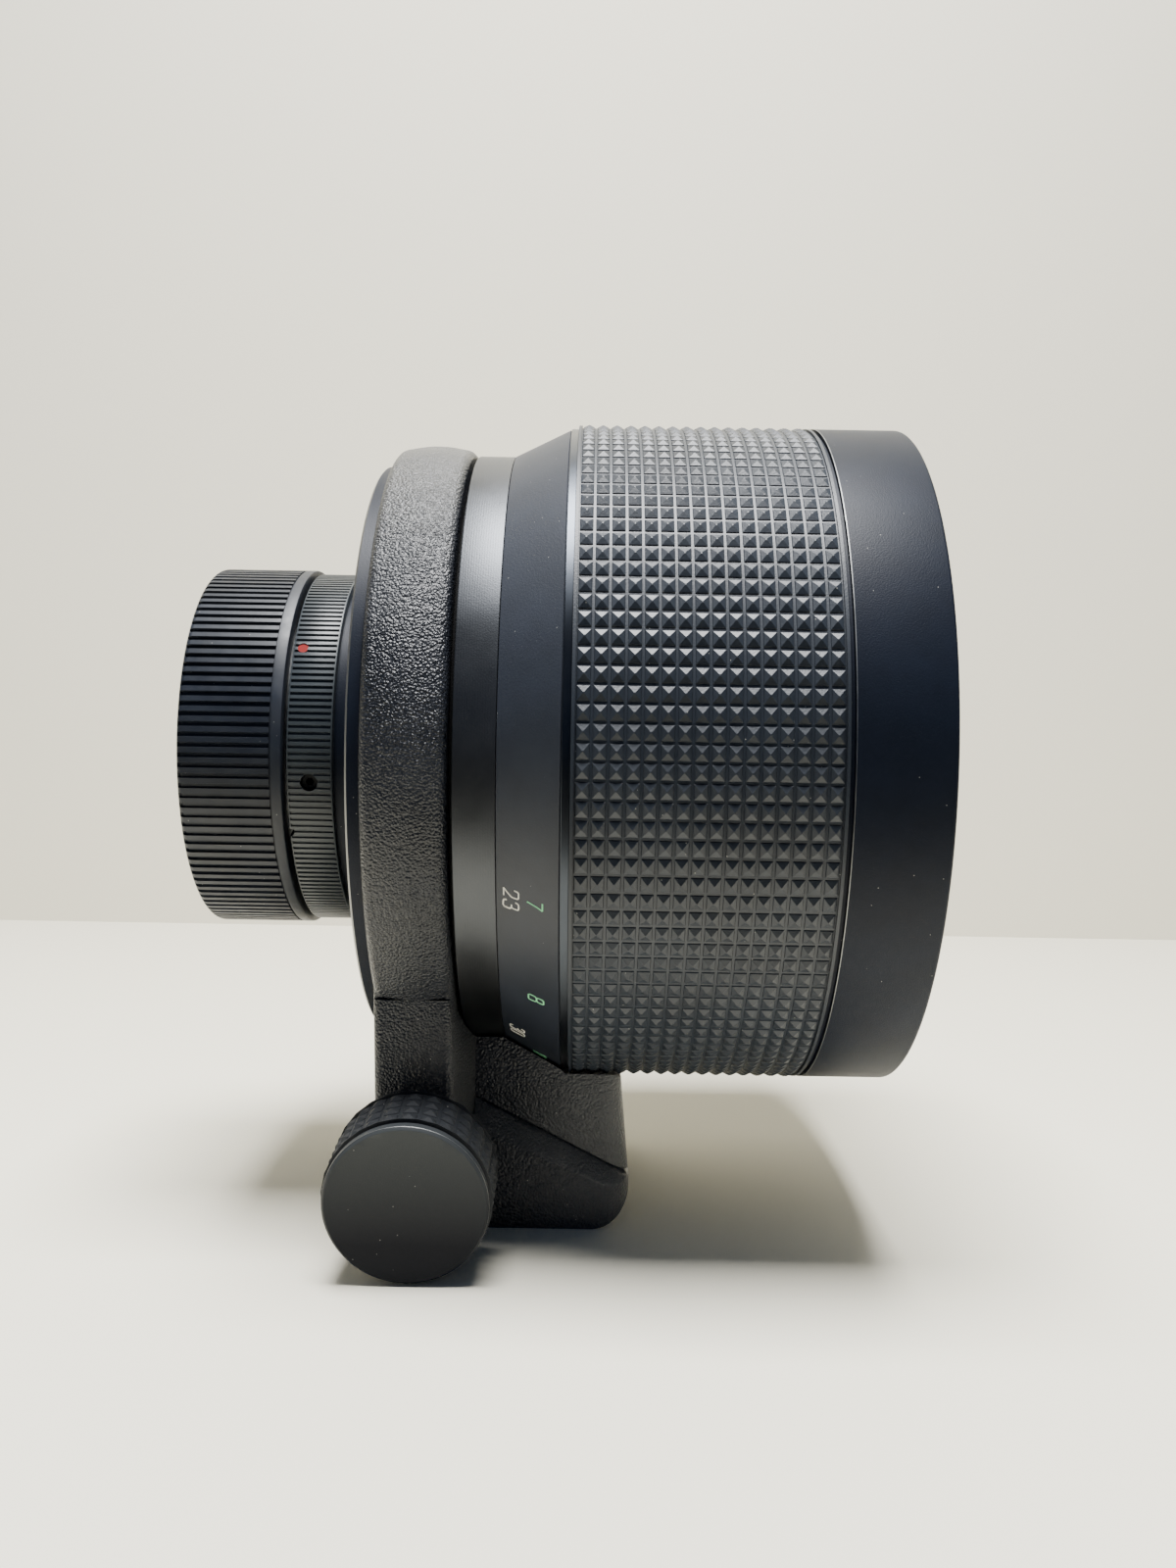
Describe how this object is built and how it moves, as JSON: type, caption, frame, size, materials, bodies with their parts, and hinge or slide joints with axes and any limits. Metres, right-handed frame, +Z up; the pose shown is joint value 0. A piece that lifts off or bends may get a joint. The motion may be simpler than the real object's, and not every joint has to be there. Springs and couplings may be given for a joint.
{
  "type": "mirror lens",
  "caption": "Compact catadioptric telephoto lens with a ridged focus ring, tripod collar with foot and clamp knob, camera adapter and rear cap.",
  "frame": {"origin": "mouth of the tripod socket, in the bottom face of the foot", "axes": "+X along the optical axis towards the front of the lens, +Z up from the foot to the lens"},
  "size_m": [0.1089, 0.1068, 0.1269],
  "materials": {
    "black_cast": "satin",
    "bright_steel": "satin",
    "black_steel": "satin",
    "knob_black": "matte",
    "knob_rubber": "matte",
    "housing_black": "satin",
    "inner_black": "matte",
    "index_black": "satin",
    "silvered_glass": "polished",
    "coated_glass": "polished",
    "key_brass": "satin",
    "adapter_grey": "satin",
    "red_enamel": "satin",
    "scale_black": "matte",
    "grip_rubber": "matte",
    "barrel_black": "satin",
    "cap_plastic": "satin"
  },
  "bodies": {
    "collar": {"collar": "black_cast", "foot_base": "black_cast", "tripod_bush": "bright_steel", "foot_screws": "black_steel", "clamp_bush": "bright_steel"},
    "clamp_washer": {"thrust_washer": "bright_steel"},
    "knob": {"knob_body": "knob_black", "knob_grip": "knob_rubber", "clamp_screw": "bright_steel"},
    "barrel": {"rear_housing": "housing_black", "main_tube": "inner_black", "index_ring": "index_black", "primary_mirror": "silvered_glass", "primary_retainer": "inner_black", "primary_baffle": "inner_black", "rear_cell": "inner_black", "rear_lens_front": "coated_glass", "rear_spacer": "inner_black", "rear_lens_back": "coated_glass", "rear_retainer": "inner_black", "filter_ring": "inner_black", "filter_glass": "coated_glass", "guide_keys": "key_brass", "key_screws": "bright_steel", "adapter_thread_ring": "adapter_grey", "adapter_body": "adapter_grey", "adapter_screws": "black_steel", "alignment_dot": "red_enamel"},
    "focus_ring": {"focus_ring": "scale_black", "focus_grip": "grip_rubber", "grip_trim_ring": "scale_black", "focus_stop_pin": "bright_steel"},
    "front_group": {"front_helicoid": "inner_black", "front_barrel": "barrel_black", "corrector_lens": "coated_glass", "front_retainer": "inner_black", "secondary_mirror": "silvered_glass", "secondary_baffle": "inner_black", "secondary_cover": "inner_black"},
    "rear_cap": {"rear_cap": "cap_plastic"}
  },
  "joints": [
    {"name": "collar_turn", "type": "hinge", "parent": "collar", "child": "barrel", "pos_m": [0, 0, 0.0735], "axis": [1, 0, 0], "continuous": true},
    {"name": "focus_turn", "type": "hinge", "parent": "barrel", "child": "focus_ring", "pos_m": [0, 0, 0.0735], "axis": [1, 0, 0], "range_deg": [0, 120]},
    {"name": "front_slide", "type": "slide", "parent": "barrel", "child": "front_group", "axis": [1, 0, 0], "range_m": [0, 0.004]},
    {"name": "cap_pull", "type": "slide", "parent": "barrel", "child": "rear_cap", "axis": [-1, 0, 0], "range_m": [0, 0.025]},
    {"name": "clamp_travel", "type": "slide", "parent": "collar", "child": "clamp_washer", "axis": [0, -0.991, -0.134], "range_m": [0, 0.0015]},
    {"name": "knob_turn", "type": "hinge", "parent": "clamp_washer", "child": "knob", "pos_m": [-0.01921, -0.03092, 0.0139], "axis": [0, -0.991, -0.134], "range_deg": [0, 540]}
  ],
  "couplings": [
    {"joint": "front_slide", "follows": "focus_turn", "m_per_rad": 0.0019098},
    {"joint": "knob_turn", "follows": "clamp_travel", "rad_per_m": 6283.2}
  ]
}
